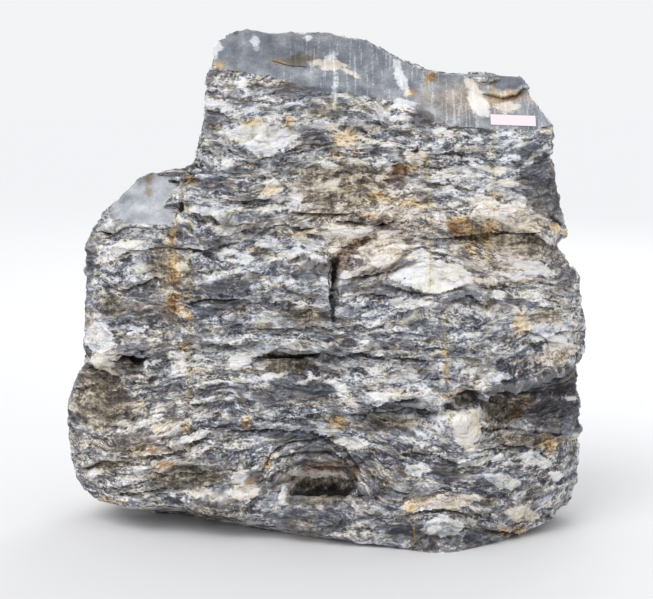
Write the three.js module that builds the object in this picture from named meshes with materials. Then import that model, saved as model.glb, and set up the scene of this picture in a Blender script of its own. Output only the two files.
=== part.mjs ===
// A standing marble feature stone for a garden: one split block of banded grey and white marble,
// with a paper label on the smooth facet near its top right corner.
//
// Millimetres, +Z up. The front, which carries the broken bands, faces -Y. The origin is on the
// surface that the stone stands on, under the middle of its outer size.
//
// The stone is a stack of closed rings, one for each level. A ring runs along the front from left
// to right, round the right end, back along the rear and round the left end. The outline of the
// front view gives each level its ends, and the facets, hollows, ledges and bands set its depth.

import * as THREE from "three";

// Outline of the front view, from the floor up: [height, x]
const LEFT_EDGE = [
  [0, -560], [35, -632], [60, -682], [95, -718], [145, -758], [210, -774], [305, -784],
  [385, -780], [425, -765], [460, -752], [495, -728], [530, -714], [590, -726], [645, -716],
  [710, -710], [770, -718], [840, -714], [888, -694], [925, -672], [965, -646], [1005, -604],
  [1055, -560], [1076, -515], [1086, -450], [1092, -405], [1110, -386], [1155, -362], [1230, -350],
  [1290, -344], [1345, -344], [1400, -322], [1450, -312], [1476, -290], [1490, -264], [1500, -236],
];
const RIGHT_EDGE = [
  [0, 645], [15, 690], [35, 720], [60, 735], [115, 758], [195, 763], [290, 764], [365, 770],
  [400, 762], [430, 757], [460, 757], [500, 763], [540, 778], [620, 774], [670, 766], [710, 758],
  [760, 744], [778, 740], [796, 724], [826, 694], [846, 677], [862, 674], [876, 692], [892, 713],
  [912, 711], [945, 694], [1015, 671], [1090, 662], [1155, 654], [1215, 642], [1238, 640],
  [1275, 610], [1300, 592], [1338, 574], [1353, 562], [1358, 475], [1371, 340], [1378, 295],
  [1395, 250], [1416, 205], [1436, 160], [1465, 115], [1477, 70], [1488, 25], [1500, -60],
];
const LEVEL_STEP = 21; // largest height between two rings
const LEVEL_GAP = 12; // smallest height between two rings

// Front: where its ridge stands by height, and how fast it falls back to each side of the ridge
const RIDGE_X = 330;
const RIDGE_SOFT = 70;
const FRONT_LEAN = [
  [0, -335], [120, -352], [400, -345], [700, -305], [1000, -250], [1200, -215], [1500, -200],
];
const BACK_OFF_LEFT = [[0, 0.24], [400, 0.24], [900, 0.14], [1200, 0.03], [1500, 0]];
const BACK_OFF_RIGHT = [[0, 0.62], [400, 0.55], [900, 0.32], [1200, 0.05], [1500, 0]];
const FRONT_CORNER = { left: [130, 70], right: [95, 105] }; // width and depth of the bevel at each end

// Rear: rough planes, [y at the origin, slope along x, slope along z]
const REAR_PLANES = [
  [345, 0.03, -0.05],
  [415, -0.27, -0.12],
  [452, 0.2, -0.24],
  [655, -0.06, -0.34],
];
const REAR_CORNER = { left: [150, 120], right: [170, 95] };

// Smooth facets, as planes y = y0 + alongX (x - x0) + alongZ (z - z0)
const TOP_FACET = { x0: -337, y0: -197, z0: 1341, alongX: 0.101, alongZ: 0.84 };
const SHOULDER_FACET = { x0: -660, y0: -134, z0: 925, alongX: -0.106, alongZ: 0.8 };
const JOINT = { top: [-392, 1106], low: [-440, 894] }; // the open joint between shoulder and block
const JOINT_SIDE = [15, 20]; // the shoulder facet dies out this far to each side of the joint
const BLOCK_LEFT = [-430, -400]; // the top facet begins between these
const FACET_BLEND = 30; // how far in front of a facet the broken surface reaches full strength
const CORNER_FADE = [1120, 1215]; // the bevels at the ends die out between these heights
const CLEAR_OF_STONE = 400; // a facet that doesn't reach a place is moved this far in front of it

// Underside: how far the front and the rear edge stay off the floor, by x
const FRONT_LIFT = [
  [-790, 88], [-600, 88], [-500, 108], [-430, 106], [-360, 78], [-200, 58], [54, 36], [90, 24],
  [300, 4], [400, 0], [509, 8], [707, 47], [790, 66],
];
const REAR_LIFT = [[-790, 70], [-300, 34], [250, 28], [790, 62]];
const UNDERCUT = 2.1; // how far the underside runs in for each millimetre of lift
const FLOOR_FADE = 60; // the relief of the rear and the ends grows from none at the floor over this height

// Top: it falls towards the rear behind its crest, and its edge runs up and down
const REAR_DROP = { slope: 0.2, from: 900, full: 1450 };
const CREST_Y = -60;
const RAGGED = { tall: 7, long: 55, deep: 80, from: 1000, full: 1300, behind: -125 };
const PEAKS = [
  { x: -232, wide: 32, tall: 17, from: 1400, full: 1490 }, // the highest point, at the left
  { x: 452, wide: 36, tall: -13, from: 1290, full: 1345 }, // dip beside the knob
  { x: 542, wide: 24, tall: 19, from: 1300, full: 1350 }, // round knob at the right corner
];

// Hollows in the front: centre, half width, half height, depth, and how steeply the floor falls
const HOLLOW_RIM = [0.72, 1.12]; // a hollow's wall, as shares of its half width
const HOLLOWS = [
  { x: -20, z: 200, wide: 105, high: 50, deep: 88, fall: -0.35 }, // cave low in the middle
  { x: 612, z: 392, wide: 150, high: 60, deep: 70, fall: 0.35 }, // long recess at the right end
  { x: 398, z: 448, wide: 42, high: 32, deep: 48, fall: 0.3 },
  { x: 205, z: 392, wide: 125, high: 34, deep: 40, fall: 0.5 },
  { x: -112, z: 553, wide: 78, high: 34, deep: 52, fall: 0.4 },
  { x: -579, z: 524, wide: 46, high: 30, deep: 46, fall: 0.5 },
  { x: -664, z: 462, wide: 62, high: 44, deep: 44, fall: 0.4 },
  { x: 445, z: 905, wide: 125, high: 32, deep: 24, fall: 0.4 },
  { x: 205, z: 1092, wide: 34, high: 30, deep: 26, fall: 0 },
];

// Ledges on the front: the line of the lip, [x, z], with how far it stands out and how far the
// rock below it is cut back
const LEDGES = [
  { line: [[-630, 925], [-450, 930]], out: 10, under: 26 },
  { line: [[-385, 980], [-285, 950], [-220, 940]], out: 14, under: 20 },
  { line: [[-440, 880], [-350, 875], [-280, 905]], out: 14, under: 20 },
  { line: [[-395, 730], [-330, 740], [-240, 725], [-150, 725]], out: 10, under: 16 },
  { line: [[-410, 590], [-195, 605]], out: 12, under: 14 },
  { line: [[0, 570], [130, 590], [195, 580], [300, 565]], out: 14, under: 18 },
  { line: [[455, 455], [580, 475], [705, 500], [765, 575]], out: 18, under: 16 },
  { line: [[295, 915], [395, 920], [515, 905], [635, 890]], out: 8, under: 18 },
  { line: [[55, 800], [130, 810], [225, 845]], out: 8, under: 16 },
  { line: [[-275, 350], [-175, 355], [10, 325]], out: 12, under: 12 },
  { line: [[100, 425], [310, 440]], out: 14, under: 8 },
  { line: [[465, 345], [620, 325], [740, 285]], out: 16, under: 16 },
  { line: [[265, 305], [375, 270], [455, 275]], out: 12, under: 14 },
  { line: [[-660, 300], [-455, 290], [-375, 305]], out: 10, under: 14 },
  { line: [[90, 165], [190, 195], [270, 175]], out: 10, under: 14 },
];
const LIP_TALL = 62;
const UNDER_TALL = 52;
const LEDGE_END = 45; // a ledge dies out over this length at each end
const LEDGE_WAVER = { tall: 6, long: 60, high: 90 };

// Open crack in the front: a slot that narrows downwards, and the slanting gash above it
const CRACK = { x: 23, top: 842, low: 665, wide: 14, deep: 75, foot: 0.3 }; // foot: share of its width left
const GASH = { from: [30, 830], to: [138, 918], wide: 17, deep: 45, before: 20, after: 10 };
const CRACK_COLUMNS = [-15, 0, 15]; // columns of the front that move to the crack, from its middle
const CRACK_REACH = 70; // how far above and below the crack they start to move

// Bands: beds of rock that break off at different depths. The beds wave, and at the lower left
// they rise to the right.
const BED_TALL = 46;
const BED_LONG = 330;
const BED_OUT = 15;
const BED_STEP = 0.7; // the step to the next bed starts at this share of a bed's height
const WAVE = { tall: 26, long: 310, high: 260 };
const RIPPLE = { tall: 9, long: 95, high: 120 };
const RISE = { x: -560, z: 300, long: 260, high: 240, slope: 0.28 };
const SIDE_OUT = 0.35; // share of the relief on the ends, whose outline is already drawn
const REAR_OUT = 1.5;
const SLAB = 2.2; // beds on the rear are this many times as tall as on the front
const LUMP_OUT = 18;

// Upright joints part the rear into blocks that stand a little in front of each other
const BLOCK_LONG = 290;
const BLOCK_OUT = 13;
const BLOCK_STEP = 0.8;
const BLOCK_WANDER = { out: 0.35, long: 400, high: 240 };
const BLOCK_HIGH = 420;

// Broad lumps on each face: length and height of a lump, and where its noise starts
const FRONT_LUMPS = { long: 170, high: 130, seed: [9, 5] };
const REAR_LUMPS = { long: 230, high: 180, seed: [0, 70] };
const END_LUMPS = { wide: 150, deep: 120, high: 140 };

const END_CROWN = 5; // how far the middle of an end stands out
const END_BLEND = 0.2; // an end's relief grows to full over this share of its depth

// Number of points along each stretch of a ring
const FRONT_POINTS = 28;
const END_POINTS = 5;
const REAR_POINTS = 13;

// Paper label on the top facet
const LABEL = { x: 533, z: 1243, long: 130, tall: 36, thick: 0.8, gap: 0.6, turn: -0.055 };

// Where each noise starts in the lattice, so that no two are alike
const RIPPLE_SEED = 40;
const BED_SEED = 7.31;
const WANDER_SEED = 2;
const BLOCK_SEED = [5.17, 8];
const LEDGE_SEED = 3;
const RAGGED_SEED = 11;

// Value of a table [[at, value], ...] at a place, straight between its entries
function along(table, at) {
  if (at <= table[0][0]) return table[0][1];
  for (let i = 1; i < table.length; i++) {
    const [a, va] = table[i - 1];
    const [b, vb] = table[i];
    if (at <= b) return va + ((vb - va) * (at - a)) / (b - a);
  }
  return table[table.length - 1][1];
}

function ease(low, high, at) {
  const t = Math.min(1, Math.max(0, (at - low) / (high - low)));
  return t * t * (3 - 2 * t);
}

function softPositive(at, width) {
  return (at + Math.sqrt(at * at + width * width)) / 2;
}

// A fixed pseudo-random number from -1 to 1 for each point of a lattice
function lattice(ix, iy, iz) {
  let h = Math.imul(ix, 73856093) ^ Math.imul(iy, 19349663) ^ Math.imul(iz, 83492791);
  h = Math.imul(h ^ (h >>> 13), 1274126177);
  h = Math.imul(h ^ (h >>> 15), 2246822519);
  return ((h ^ (h >>> 16)) >>> 0) / 2147483647.5 - 1;
}

// Smooth noise from -1 to 1 through the lattice
function noise(x, y, z) {
  const ix = Math.floor(x);
  const iy = Math.floor(y);
  const iz = Math.floor(z);
  const fade = (t) => t * t * t * (t * (t * 6 - 15) + 10);
  const u = fade(x - ix);
  const v = fade(y - iy);
  const w = fade(z - iz);
  const mix = (a, b, t) => a + (b - a) * t;
  const edge = (dy, dz) => mix(lattice(ix, iy + dy, iz + dz), lattice(ix + 1, iy + dy, iz + dz), u);
  return mix(mix(edge(0, 0), edge(1, 0), v), mix(edge(0, 1), edge(1, 1), v), w);
}

// Height in the rock's own bedding, which waves gently and rises to the right at the lower left
function bedding(x, y, z) {
  const wave = WAVE.tall * noise(x / WAVE.long, y / WAVE.long, z / WAVE.high);
  const ripple = RIPPLE.tall * noise(x / RIPPLE.long + RIPPLE_SEED, y / RIPPLE.long, z / RIPPLE.high);
  const near = Math.exp(-(((x - RISE.x) / RISE.long) ** 2) - ((z - RISE.z) / RISE.high) ** 2);
  return z + wave + ripple - RISE.slope * (x - RISE.x) * near;
}

// Each bed stands out or back by its own amount, with a short step to the next
function beds(x, y, h) {
  const bed = Math.floor(h / BED_TALL);
  const amount = (n) => noise(x / BED_LONG, y / BED_LONG, n * BED_SEED);
  return amount(bed) + (amount(bed + 1) - amount(bed)) * ease(BED_STEP, 1, h / BED_TALL - bed);
}

// Each block of the rear stands out or back by its own amount
function blocks(x, z) {
  const wander = BLOCK_WANDER.out * noise(x / BLOCK_WANDER.long, WANDER_SEED, z / BLOCK_WANDER.high);
  const at = x / BLOCK_LONG + wander;
  const block = Math.floor(at);
  const amount = (n) => noise(n * BLOCK_SEED[0], BLOCK_SEED[1], z / BLOCK_HIGH);
  return amount(block) + (amount(block + 1) - amount(block)) * ease(BLOCK_STEP, 1, at - block);
}

function planeY(facet, x, z) {
  return facet.y0 + facet.alongX * (x - facet.x0) + facet.alongZ * (z - facet.z0);
}

// Broad lumps, on a lattice of its own for each face
function lumps(u, v, { long, high, seed }) {
  return LUMP_OUT * noise(u / long + seed[0], seed[1], v / high);
}

// Bevel that takes a face back as it nears one end of its level
function corner([wide, deep], fromEnd) {
  const t = Math.max(0, 1 - fromEnd / wide);
  return deep * t * t;
}

function hollowDepth(x, z) {
  let depth = 0;
  for (const h of HOLLOWS) {
    const u = (x - h.x) / h.wide;
    const v = (z - h.z) / h.high;
    const inside = 1 - ease(...HOLLOW_RIM, Math.pow(u ** 4 + v ** 4, 0.25));
    depth = Math.max(depth, h.deep * inside * (1 + h.fall * Math.max(-1, Math.min(1, v))));
  }
  return depth;
}

function ledgeRelief(x, z) {
  let relief = 0;
  for (const { line, out, under } of LEDGES) {
    const first = line[0][0];
    const last = line[line.length - 1][0];
    const ends = ease(first - LEDGE_END, first, x) * (1 - ease(last, last + LEDGE_END, x));
    const waver = LEDGE_WAVER.tall * noise(x / LEDGE_WAVER.long, LEDGE_SEED, z / LEDGE_WAVER.high);
    const above = z - along(line, x) - waver;
    const lip = out * Math.max(0, 1 - above / LIP_TALL);
    const cut = under * Math.max(0, 1 + above / UNDER_TALL);
    relief += ends * (above > 0 ? lip : -cut);
  }
  return relief;
}

// How wide the crack still is at a height, as a share of its full width
function crackShare(z) {
  const up = Math.min(1, Math.max(0, (z - CRACK.low) / (CRACK.top - CRACK.low)));
  return CRACK.foot + (1 - CRACK.foot) * up;
}

function crackDepth(x, z) {
  const share = crackShare(z);
  const open = z > CRACK.low && z < CRACK.top;
  const slot = open ? CRACK.deep * share * Math.max(0, 1 - Math.abs(x - CRACK.x) / (CRACK.wide * share)) : 0;
  const [ax, az] = GASH.from;
  const [bx, bz] = GASH.to;
  const long = Math.hypot(bx - ax, bz - az);
  const on = ((x - ax) * (bx - ax) + (z - az) * (bz - az)) / long;
  const off = Math.abs((x - ax) * (bz - az) - (z - az) * (bx - ax)) / long;
  const onGash = on > -GASH.before && on < long + GASH.after;
  const gash = onGash ? GASH.deep * Math.max(0, 1 - off / GASH.wide) : 0;
  return Math.max(slot, gash);
}

// Depth of the front at a place of the front view
function frontY(x, z, left, right) {
  const ridge = along(FRONT_LEAN, z);
  const fallLeft = along(BACK_OFF_LEFT, z) * softPositive(RIDGE_X - x, RIDGE_SOFT);
  const fallRight = along(BACK_OFF_RIGHT, z) * softPositive(x - RIDGE_X, RIDGE_SOFT);
  const bevel = corner(FRONT_CORNER.left, x - left) + corner(FRONT_CORNER.right, right - x);
  const undercut = UNDERCUT * Math.max(0, along(FRONT_LIFT, x) - z);
  const broken = ridge + fallLeft + fallRight + bevel * (1 - ease(...CORNER_FADE, z)) + undercut;

  const jointX = along([[JOINT.low[1], JOINT.low[0]], [JOINT.top[1], JOINT.top[0]]], z);
  const pastJoint = ease(jointX - JOINT_SIDE[0], jointX + JOINT_SIDE[1], x);
  const shoulder = planeY(SHOULDER_FACET, x, z) - CLEAR_OF_STONE * pastJoint;
  const top = planeY(TOP_FACET, x, z) - CLEAR_OF_STONE * (1 - ease(...BLOCK_LEFT, x));
  const facet = Math.max(shoulder, top);
  const rough = 1 - ease(-FACET_BLEND, 0, facet - broken);

  const h = bedding(x, broken, z);
  const layers = BED_OUT * beds(x, broken, h) + lumps(x, z, FRONT_LUMPS);
  const relief = layers + ledgeRelief(x, z) - hollowDepth(x, z);
  return Math.max(broken - rough * relief, facet) + crackDepth(x, z);
}

// Depth of the rear at a place of the front view
function rearY(x, z, left, right) {
  const plane = Math.min(...REAR_PLANES.map(([y, sx, sz]) => y + sx * x + sz * z));
  const bevel = corner(REAR_CORNER.left, x - left) + corner(REAR_CORNER.right, right - x);
  const undercut = UNDERCUT * Math.max(0, along(REAR_LIFT, x) - z);
  const h = bedding(x, plane, z) / SLAB;
  const layers = REAR_OUT * BED_OUT * beds(x, plane, h) + lumps(x, z, REAR_LUMPS);
  const relief = layers + BLOCK_OUT * blocks(x, z);
  return plane - bevel - undercut + relief * ease(0, FLOOR_FADE, z);
}

// Top edge: its peaks and dip, short ups and downs, and the fall towards the rear
function settle(x, y, z) {
  const high = ease(REAR_DROP.from, REAR_DROP.full, z);
  const drop = REAR_DROP.slope * Math.max(0, y - CREST_Y);
  let peak = 0;
  for (const p of PEAKS) peak += p.tall * Math.exp(-(((x - p.x) / p.wide) ** 2)) * ease(p.from, p.full, z);
  const reach = ease(RAGGED.from, RAGGED.full, z) * ease(RAGGED.behind, CREST_Y, y);
  const ragged = RAGGED.tall * noise(x / RAGGED.long, y / RAGGED.deep, RAGGED_SEED) * reach;
  return z - high * drop + peak + ragged;
}

// One ring of the stack
function ring(z) {
  const left = along(LEFT_EDGE, z);
  const right = along(RIGHT_EDGE, z);
  const points = [];
  const columns = [];
  for (let i = 0; i <= FRONT_POINTS; i++) columns.push(left + ((right - left) * i) / FRONT_POINTS);
  const below = ease(CRACK.low - CRACK_REACH, CRACK.low, z);
  const reach = below * (1 - ease(CRACK.top, CRACK.top + CRACK_REACH, z));
  const nearest = Math.round(((CRACK.x - left) / (right - left)) * FRONT_POINTS);
  CRACK_COLUMNS.forEach((off, i) => {
    const column = nearest - 1 + i;
    if (reach > 0) columns[column] += reach * (CRACK.x + off * crackShare(z) - columns[column]);
  });
  for (const x of columns) points.push([x, frontY(x, z, left, right)]);

  const end = (x, from, to, side) => {
    for (let i = 1; i < END_POINTS; i++) {
      const share = i / END_POINTS;
      const y = from + (to - from) * share;
      const lump = LUMP_OUT * noise(x / END_LUMPS.wide, y / END_LUMPS.deep, z / END_LUMPS.high);
      const relief = SIDE_OUT * (BED_OUT * beds(x, y, bedding(x, y, z)) + lump);
      const crown = END_CROWN * Math.sin(Math.PI * share);
      const out = relief * ease(0, FLOOR_FADE, z) * ease(0, END_BLEND, share) + crown;
      points.push([x + side * out, y]);
    }
  };
  end(right, frontY(right, z, left, right), rearY(right, z, left, right), 1);
  for (let i = 0; i <= REAR_POINTS; i++) {
    const x = right + ((left - right) * i) / REAR_POINTS;
    points.push([x, rearY(x, z, left, right)]);
  }
  end(left, rearY(left, z, left, right), frontY(left, z, left, right), -1);
  return points.map(([x, y]) => new THREE.Vector3(x, y, settle(x, y, z)));
}

// Heights of the rings: every height that the outline names, and more where they lie far apart
function levels() {
  const named = [...LEFT_EDGE, ...RIGHT_EDGE].map(([z]) => z).sort((a, b) => a - b);
  const kept = [0];
  for (const z of named) {
    const last = kept[kept.length - 1];
    if (z - last < LEVEL_GAP) continue;
    const between = Math.ceil((z - last) / LEVEL_STEP);
    for (let i = 1; i <= between; i++) kept.push(last + ((z - last) * i) / between);
  }
  return kept;
}

// Closed surface over a stack of rings of equal length, with a fan over each end
function stackGeometry(rings) {
  const count = rings[0].length;
  const points = rings.flat();
  const faces = [];
  for (let k = 0; k + 1 < rings.length; k++) {
    for (let i = 0; i < count; i++) {
      const a = k * count + i;
      const b = k * count + ((i + 1) % count);
      faces.push(a, b, b + count, a, b + count, a + count);
    }
  }
  const fan = (k, upwards) => {
    const middle = rings[k].reduce((sum, p) => sum.add(p), new THREE.Vector3()).divideScalar(count);
    points.push(middle);
    for (let i = 0; i < count; i++) {
      const a = k * count + i;
      const b = k * count + ((i + 1) % count);
      faces.push(...(upwards ? [a, b] : [b, a]), points.length - 1);
    }
  };
  fan(0, false);
  fan(rings.length - 1, true);
  const geometry = new THREE.BufferGeometry().setFromPoints(points);
  geometry.setIndex(faces);
  geometry.computeVertexNormals();
  return geometry;
}

function marbleStone() {
  const geometry = stackGeometry(levels().map(ring));
  const marble = new THREE.MeshStandardMaterial({ color: 0x8b8e92, roughness: 0.75, metalness: 0 });
  const stone = new THREE.Mesh(geometry, marble);
  stone.name = "stone";
  return stone;
}

// A thin strip that lies on the top facet
function paperLabel() {
  const geometry = new THREE.BoxGeometry(LABEL.long, LABEL.tall, LABEL.thick);
  const paper = new THREE.MeshStandardMaterial({ color: 0xf3dfe2, roughness: 0.8, metalness: 0 });
  const label = new THREE.Mesh(geometry, paper);
  const outwards = new THREE.Vector3(TOP_FACET.alongX, -1, TOP_FACET.alongZ).normalize();
  const across = new THREE.Vector3(1, TOP_FACET.alongX, 0).normalize();
  const upwards = new THREE.Vector3().crossVectors(outwards, across);
  label.setRotationFromMatrix(new THREE.Matrix4().makeBasis(across, upwards, outwards));
  label.rotateZ(LABEL.turn);
  const clear = LABEL.gap + LABEL.thick / 2;
  label.position.set(LABEL.x, planeY(TOP_FACET, LABEL.x, LABEL.z), LABEL.z).addScaledVector(outwards, clear);
  label.name = "label";
  return label;
}

const part = new THREE.Group();
part.add(marbleStone(), paperLabel());

// The origin goes under the middle of the outer size
const size = new THREE.Box3().setFromObject(part);
part.children.forEach((piece) => {
  piece.position.x -= (size.min.x + size.max.x) / 2;
  piece.position.y -= (size.min.y + size.max.y) / 2;
});

export default part;
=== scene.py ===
# %% [markdown]
# # A marble feature stone
#
# The real object is one block of folded marble, split from the bed and stood on end in a garden
# yard. Its front shows thin beds of blue-grey rock with lens-shaped bodies of white calcite, and
# iron has stained the joints ochre. We start from the plain solid of the stone, give it a finely
# broken surface, and colour that surface by the height in the bedding. A blank paper label lies on
# the smooth facet near the top.

# %% Load the plain solids
import math

import bmesh
import bpy
import numpy as np
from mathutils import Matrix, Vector


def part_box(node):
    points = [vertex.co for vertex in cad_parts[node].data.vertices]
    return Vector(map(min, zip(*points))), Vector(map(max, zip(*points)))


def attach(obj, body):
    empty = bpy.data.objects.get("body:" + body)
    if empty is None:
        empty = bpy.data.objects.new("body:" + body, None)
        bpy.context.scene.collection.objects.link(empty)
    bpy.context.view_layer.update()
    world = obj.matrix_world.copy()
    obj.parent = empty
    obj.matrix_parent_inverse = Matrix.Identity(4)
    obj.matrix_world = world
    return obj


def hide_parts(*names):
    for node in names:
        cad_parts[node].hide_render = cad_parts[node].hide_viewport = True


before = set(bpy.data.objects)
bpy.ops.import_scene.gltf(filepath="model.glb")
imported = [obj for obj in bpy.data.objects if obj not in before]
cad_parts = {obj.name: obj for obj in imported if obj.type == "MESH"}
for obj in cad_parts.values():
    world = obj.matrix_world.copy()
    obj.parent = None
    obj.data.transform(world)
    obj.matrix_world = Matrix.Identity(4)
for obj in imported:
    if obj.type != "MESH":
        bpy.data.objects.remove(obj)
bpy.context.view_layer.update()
stone_low, stone_high = (np.array(corner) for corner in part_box("stone"))
print("stone, metres:", (stone_high - stone_low).round(3))

# %% [markdown]
# ## The camera
#
# The camera comes first because the markings are placed by what it sees. The photograph was taken
# from a little above, from far enough away that the stone shows almost no perspective. The label
# is the one thing of known size and place, so the view is measured from the middle of the label.

# %% Where the photograph was taken from
PHOTO_WIDE, PHOTO_TALL = 653, 599  # pixels
PIXEL = 0.003  # metres that one pixel covers at the stone
VIEW_DISTANCE = 5.9
VIEW_ANGLE = math.radians(10)  # how far the camera looks down
LABEL_TO_AIM = np.array([-0.533, 0.192, -0.5535])  # from the label to the middle of the picture
SENSOR = 36.0  # millimetres, Blender's own width of the film

label_low, label_high = (np.array(corner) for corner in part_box("label"))
aim = (label_low + label_high) / 2 + LABEL_TO_AIM
towards_camera = np.array([0, -math.cos(VIEW_ANGLE), math.sin(VIEW_ANGLE)])
camera_place = aim + VIEW_DISTANCE * towards_camera
focal_pixels = VIEW_DISTANCE / PIXEL

lens = bpy.data.cameras.new("camera")
lens.sensor_width = SENSOR
lens.lens = focal_pixels * SENSOR / PHOTO_WIDE
camera = bpy.data.objects.new("camera", lens)
camera.location = camera_place
camera.rotation_euler = (math.pi / 2 - VIEW_ANGLE, 0, 0)
bpy.context.scene.collection.objects.link(camera)
bpy.context.scene.camera = camera
print("lens, mm:", round(lens.lens, 1))


def seen_at(points):
    """Column and row of the photograph at which each point shows."""
    away = points - camera_place
    depth = -away @ towards_camera
    up = np.array([0, math.sin(VIEW_ANGLE), math.cos(VIEW_ANGLE)])
    column = PHOTO_WIDE / 2 + focal_pixels * away[:, 0] / depth
    row = PHOTO_TALL / 2 - focal_pixels * (away @ up) / depth
    return column, row


# %% [markdown]
# ## Tools for rock
#
# Rock looks right when every measure of it varies a little. Smooth noise does that: a fixed
# pseudo-random number at each point of a lattice, blended between the points. It is worked out
# for all vertices at once with numpy, and it gives the same stone each time.

# %% Noise
LATTICE_PRIMES = (73856093, 19349663, 83492791)
HASH_STEPS = ((13, 1274126177), (15, 2246822519))
HASH_HALF = 2147483647.5


def lattice(cell):
    """A fixed pseudo-random number from -1 to 1 for each cell of a lattice."""
    parts = [cell[:, i].astype(np.uint32) * np.uint32(LATTICE_PRIMES[i]) for i in range(3)]
    mixed = parts[0] ^ parts[1] ^ parts[2]
    for shift, factor in HASH_STEPS:
        mixed = (mixed ^ (mixed >> np.uint32(shift))) * np.uint32(factor)
    return (mixed ^ (mixed >> np.uint32(16))).astype(float) / HASH_HALF - 1


def noise(x, y, z):
    """Smooth noise from -1 to 1."""
    at = np.stack(np.broadcast_arrays(x, y, z), axis=1).astype(float)
    cell = np.floor(at)
    part = at - cell
    blend = part * part * part * (part * (part * 6 - 15) + 10)
    cell = cell.astype(np.int64)
    total = np.zeros(len(at))
    for corner in range(8):
        step = np.array([corner & 1, corner >> 1 & 1, corner >> 2 & 1])
        share = np.prod(np.where(step == 1, blend, 1 - blend), axis=1)
        total += share * lattice(cell + step)
    return total


def rough_noise(x, y, z, octaves=4, keep=0.55):
    """Noise with finer and finer noise on it."""
    total, size, step = 0, 1, 1
    for octave in range(octaves):
        total = total + size * noise(x * step + 17 * octave, y * step, z * step)
        size, step = size * keep, step * 2
    return total


def ease(low, high, value):
    """0 below low, 1 above high and a smooth step between them. low may be the larger."""
    share = np.clip((value - low) / (high - low), 0, 1)
    return share * share * (3 - 2 * share)


# %% [markdown]
# ## The marks of the photograph
#
# Each mark is a lens: column, row, half its length, half its height and how many degrees it rises
# to the right. They are named after what they look like. A rock's markings aren't copied pixel by
# pixel: a few well placed lenses, with edges that noise makes ragged, look more like the real
# ones than a drawing would.

# %% White calcite
WHITE = {
    "peak spot": (255, 42, 7, 4.5, 90), "diamond": (241, 83, 9, 6, -60), "left edge": (217, 50, 9, 4, 80),
    "left lens": (218, 105, 15, 5, -12), "great upper lens": (262, 136, 34, 12, -3),
    "its tail": (264, 149, 20, 5, -8), "patch by the crack": (331, 59, 8, 4, 40),
    "pale vein": (402, 76, 19, 5, -72), "below the vein": (403, 103, 14, 5, -4),
    "pale block": (479, 104, 14, 8, -50), "top spot": (309, 38, 4, 3, 0), "row 96": (342, 96, 8, 2.4, 0),
    "row 106": (369, 106, 7, 1.8, 0), "row 119": (400, 119, 9, 3, -5), "row 120": (344, 120, 6, 2.5, 15),
    "row 130": (444, 130, 10, 3, -3), "row 142": (476, 142, 10, 3, -5), "row 144": (387, 144, 17, 2.8, -8),
    "row 163": (382, 163, 12, 3.8, -2), "row 165": (327, 165, 7, 3, -3), "row 159": (457, 159, 18, 2.5, 0),
    "row 177": (466, 177, 23, 3.6, -2), "row 186": (450, 186, 10, 3.5, -25),
    "row 160": (510, 160, 14, 3, 8), "side streak": (534, 158, 25, 1.5, 38),
    "side blob": (537, 153, 8, 4, 35), "curl 141": (508, 141, 12, 1.5, 14),
    "curl 147": (517, 147, 12, 1.5, 22), "curl 134": (503, 133, 9, 1.8, -8),
    "pebble 163": (228, 163, 6, 4.5, 0), "row 178": (381, 178, 7, 2.4, 0), "dot 206": (340, 206, 5, 3.4, 0),
    "row 198": (297, 198, 7, 3, 10), "row 207": (275, 207, 7, 3, -5), "long middle": (343, 231, 28, 4.8, 6),
    "row 242": (269, 242, 14, 5, 8), "leaf": (294, 252, 22, 5, 12), "row 256": (243, 256, 17, 3.8, -18),
    "row 261": (240, 262, 16, 2.4, 0), "row 273": (235, 273, 21, 2.6, 5), "row 269": (182, 269, 8, 6, 0),
    "upper joint": (335, 88, 24, 1.6, 90), "great right lens": (429, 275, 38, 15, -3),
    "its top": (420, 263, 15, 13, 0), "pink white": (345, 277, 5, 6, 0), "row 303": (410, 303, 24, 4.4, -3),
    "row 283": (292, 283, 9, 3, 5), "row 304": (301, 304, 9, 2.6, 12), "dot 298": (345, 298, 4, 3, 0),
    "row 296": (500, 296, 7, 4.5, 0), "row 297": (531, 297, 14, 4, -8),
    "right point": (534, 267, 19, 7, -15), "left block": (99, 338, 14, 15, 0),
    "left streak": (138, 331, 13, 3, 28), "row 338": (235, 338, 22, 2.6, 3), "fan": (239, 362, 12, 9, 0),
    "blob 148": (148, 363, 3.4, 4.5, 0), "blob 158": (158, 363, 7, 4, 10), "row 376": (270, 376, 22, 3, 8),
    "row 380": (305, 380, 11, 2.8, 20), "triangle": (337, 386, 12, 4, -20),
    "row 395": (380, 395, 16, 4.6, -8), "row 381": (241, 381, 7, 2.2, -5), "row 397": (232, 397, 6, 2.6, 0),
    "row 400": (203, 400, 10, 3.2, 3), "row 416": (204, 416, 13, 3.2, 12),
    "stack 414": (156, 413, 7, 2.2, 5), "stack 421": (156, 421, 7, 2.4, 5),
    "stack 429": (156, 429, 7, 2.6, 5), "long pale": (197, 434, 15, 4.4, 18),
    "shelf": (495, 379, 16, 5.5, 8), "right edge": (570, 396, 8, 2.2, 0),
    "round left": (441, 415, 11, 6.5, 12), "by the cave": (350, 442, 16, 6, -8),
    "row 469": (418, 469, 13, 6, 5), "row 463": (471, 463, 12, 3.8, 5), "row 458": (492, 458, 11, 4, 5),
    "right lens": (536, 460, 18, 7, -12), "lavender": (503, 481, 17, 7, -15),
    "row 476": (557, 476, 6, 5, 0), "row 473": (93, 473, 11, 3, 12), "row 477": (240, 477, 9, 5, 25),
    "cave chip": (283, 494, 11, 3, 80), "lower right": (444, 527, 20, 10, 5),
    "row 372": (470, 372, 8, 4, 0), "right face upper": (552, 340, 20, 5, -8),
    "row 334": (474, 333, 12, 2.4, -3),
}
print("white lenses:", len(WHITE))

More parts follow.
